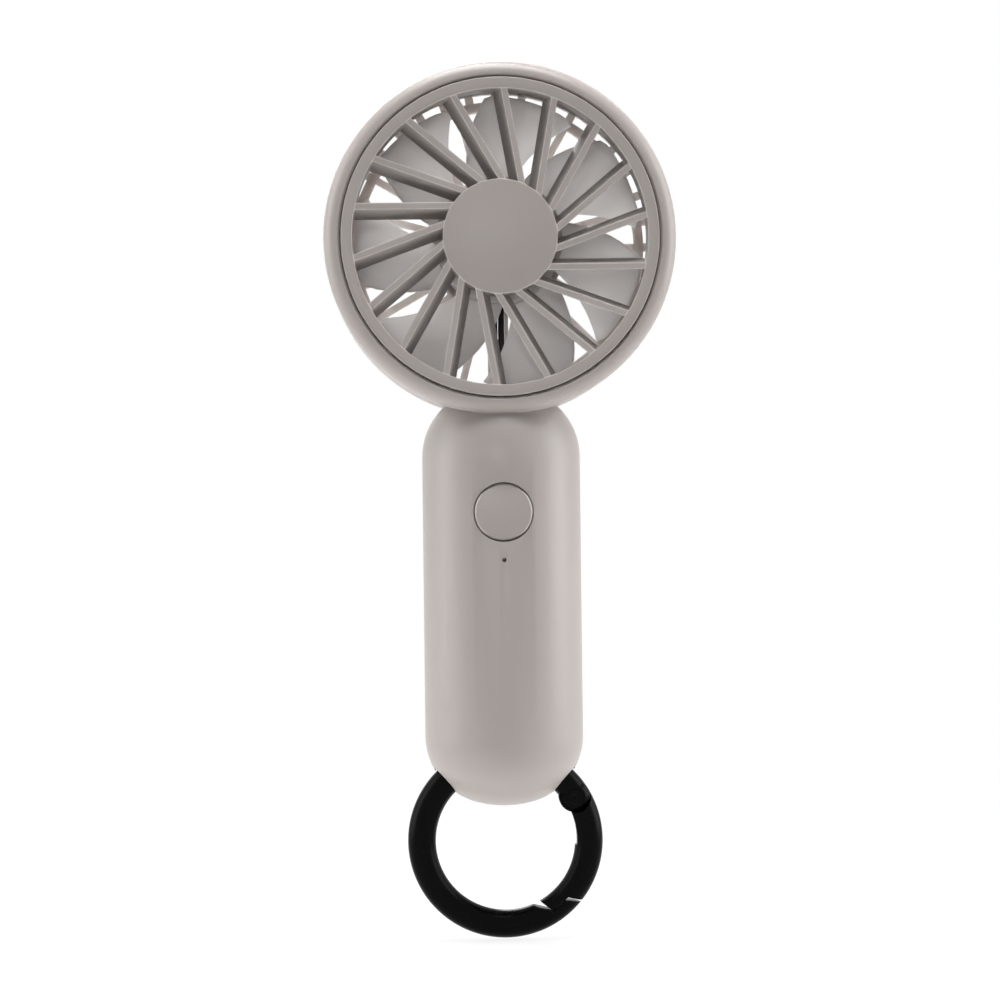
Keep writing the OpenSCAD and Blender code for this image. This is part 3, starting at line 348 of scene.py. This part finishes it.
# node: material and edge rounding in millimetres
finishes = {
    "front_shell": (shellPlastic, 0.12),
    "rear_shell": (shellPlastic, 0.12),
    "front_grille": (grillePlastic, 0.22),
    "rear_grille": (cagePlastic, 0.12),
    "impeller": (bladePlastic, 0.12),
    "button_cap": (buttonPlastic, 0.12),
    "led_window": (lensSmoke, 0.05),
    "status_led": (lensSmoke, 0.05),
    "ring_body": (ringBlack, 0.15),
    "ring_gate": (ringBlack, 0.15),
    "gate_pin": (ringBlack, 0.10),
    "gate_spring": (steelPlain, 0.05),
    "rotor_yoke": (steelPlain, 0.1),
    "motor_shaft": (steelPlain, 0.1),
    "shaft_clip": (steelPlain, 0.05),
    "stator_core": (steelPlain, 0.05),
    "usb_shell": (steelPlain, 0.08),
    "case_screws": (steelPlain, 0.1),
    "board_screws": (steelPlain, 0.1),
    "battery_tabs": (nickelStrip, 0.05),
    "sleeve_bearing": (bronzeSleeve, 0.1),
    "stator_coils": (copperWire, 0.2),
    "rotor_magnet": (magnetGrey, 0.1),
    "motor_board": (boardGreen, 0.05),
    "main_board": (boardGreen, 0.05),
    "usb_board": (boardGreen, 0.05),
    "switch_plunger": (switchBlack, 0.1),
    "tact_switch": (switchBlack, 0.1),
    "board_chips": (switchBlack, 0.1),
    "usb_tongue": (switchBlack, 0.08),
    "thrust_washer": (switchBlack, 0.05),
    "motor_leads": (jacketBlack, 0.0),
    "battery_leads": (jacketBlack, 0.0),
    "battery_cell": (cellSleeve, 0.3),
    "battery_pads": (foamGrey, 0.2),
}
for name, (material, edge) in finishes.items():
    dress(name, material, edge)
print("dressed", len(finishes), "nodes")


# Floor: white, with a soft shadow near the object
stageSet = {"floorGap": 0.4 * mm, "floorSize": 1.4, "floorShift": 0.5, "showThrough": 0.85, "seenColour": 0.9,
            "bounceColour": 0.98, "roughness": 0.9, "fadeReach": (0.10, 0.30)}

def seenRay(tree, ray, place):
    # 1 where the camera, a reflection or a see-through part looks at the background
    seen = mathNode(tree, "MAXIMUM", ray.outputs["Is Camera Ray"], ray.outputs["Is Glossy Ray"], place)
    return mathNode(tree, "MAXIMUM", seen, ray.outputs["Is Transmission Ray"], (place[0] + 150, place[1]))

def addFloor(settings):
    bpy.ops.mesh.primitive_plane_add(size=settings["floorSize"])
    floor = bpy.context.object
    floor.name = "floor"
    floor.location = (0, settings["floorShift"], cadBox[0][2] - settings["floorGap"])
    material, tree, shader = startMaterial("floorWhite")
    shader.inputs["Roughness"].default_value = settings["roughness"]
    white = addNode(tree, "ShaderNodeEmission", (0, -250))
    ray = addNode(tree, "ShaderNodeLightPath", (-500, 300))
    seen = seenRay(tree, ray, (-300, 300))
    tone = addNode(tree, "ShaderNodeMapRange", (-150, 100))
    tone.inputs["To Min"].default_value = settings["bounceColour"]
    tone.inputs["To Max"].default_value = settings["seenColour"]
    link(tree, seen, tone.inputs["Value"])
    link(tree, tone.outputs["Result"], shader.inputs["Base Color"])
    # the floor takes a shadow near the object and fades to plain white further out
    point = addNode(tree, "ShaderNodeNewGeometry", (-750, 550))
    reach = addNode(tree, "ShaderNodeVectorMath", (-550, 550), operation="LENGTH")
    fade = addNode(tree, "ShaderNodeMapRange", (-350, 550))
    link(tree, point.outputs["Position"], reach.inputs[0])
    link(tree, reach.outputs["Value"], fade.inputs["Value"])
    fade.inputs["From Min"].default_value, fade.inputs["From Max"].default_value = settings["fadeReach"]
    fade.inputs["To Min"].default_value = settings["showThrough"]
    fade.inputs["To Max"].default_value = 1.0
    share = mathNode(tree, "MULTIPLY", seen, fade.outputs["Result"], (0, 300))
    mix = addNode(tree, "ShaderNodeMixShader", (350, 100))
    link(tree, share, mix.inputs["Fac"])
    link(tree, shader.outputs["BSDF"], mix.inputs[1])
    link(tree, white.outputs["Emission"], mix.inputs[2])
    link(tree, mix.outputs["Shader"], tree.nodes["Material Output"].inputs["Surface"])
    floor.data.materials.append(material)

# Lamps: metres, watts and degrees
lamps = {
    "topBox": {"place": (-0.05, -0.05, 1.00), "aim": (0, 0, 0.05), "size": (0.9, 0.5), "power": 15.5},
    "leftBox": {"place": (-0.85, -0.02, 0.12), "aim": (0, 0, 0.03), "size": (0.5, 1.1), "power": 5.6},
    "rightBox": {"place": (0.85, -0.02, 0.12), "aim": (0, 0, 0.03), "size": (0.5, 1.1), "power": 7.6},
    "frontBox": {"place": (-0.08, -0.80, 0.20), "aim": (0, 0, 0.085), "size": (0.16, 0.12), "power": 0.016,
                 "spread": 14},  # narrow, for the head alone
    "backBox": {"place": (-0.10, 0.75, 0.40), "aim": (0, 0, 0.06), "size": (0.35, 0.35), "power": 3.3},
}

def addLamp(name, lamp):
    data = bpy.data.lights.new(name, "AREA")
    data.shape = "RECTANGLE"
    data.size, data.size_y = lamp["size"]
    data.energy = lamp["power"]
    data.spread = math.radians(lamp.get("spread", 180))
    light = bpy.data.objects.new(name, data)
    light.location = lamp["place"]
    light.rotation_euler = (Vector(lamp["aim"]) - Vector(lamp["place"])).to_track_quat("-Z", "Y").to_euler()
    bpy.context.scene.collection.objects.link(light)

# Light tent: lights the sides and the back, is dark towards the camera, and is seen as white all round
tentSet = {"dark": 0.02, "white": 0.86, "darkUntil": 65, "whiteFrom": 95}

def addTent(settings):
    world = bpy.data.worlds.new("tent")
    bpy.context.scene.world = world
    world.use_nodes = True
    tree = world.node_tree
    background = tree.nodes["Background"]
    way = addNode(tree, "ShaderNodeTexCoord", (-900, 0))
    parts = addNode(tree, "ShaderNodeSeparateXYZ", (-700, 0))
    level = addNode(tree, "ShaderNodeMapRange", (-450, 0), interpolation_type="SMOOTHSTEP")
    level.inputs["From Min"].default_value = -math.cos(math.radians(settings["darkUntil"]))
    level.inputs["From Max"].default_value = -math.cos(math.radians(settings["whiteFrom"]))
    level.inputs["To Min"].default_value = settings["dark"]
    level.inputs["To Max"].default_value = settings["white"]
    link(tree, way.outputs["Generated"], parts.inputs["Vector"])
    link(tree, parts.outputs["Y"], level.inputs["Value"])
    ray = addNode(tree, "ShaderNodeLightPath", (-450, 350))
    seen = seenRay(tree, ray, (-300, 350))
    strength = mathNode(tree, "MAXIMUM", level.outputs["Result"], seen, (-200, 0))
    link(tree, strength, background.inputs["Strength"])
    background.inputs["Color"].default_value = (1.0, 1.0, 1.0, 1.0)

addFloor(stageSet)
for name, lamp in lamps.items():
    addLamp(name, lamp)
addTent(tentSet)
bpy.context.scene.view_settings.view_transform = "Standard"
print("stage lit")

bpy.context.view_layer.update()
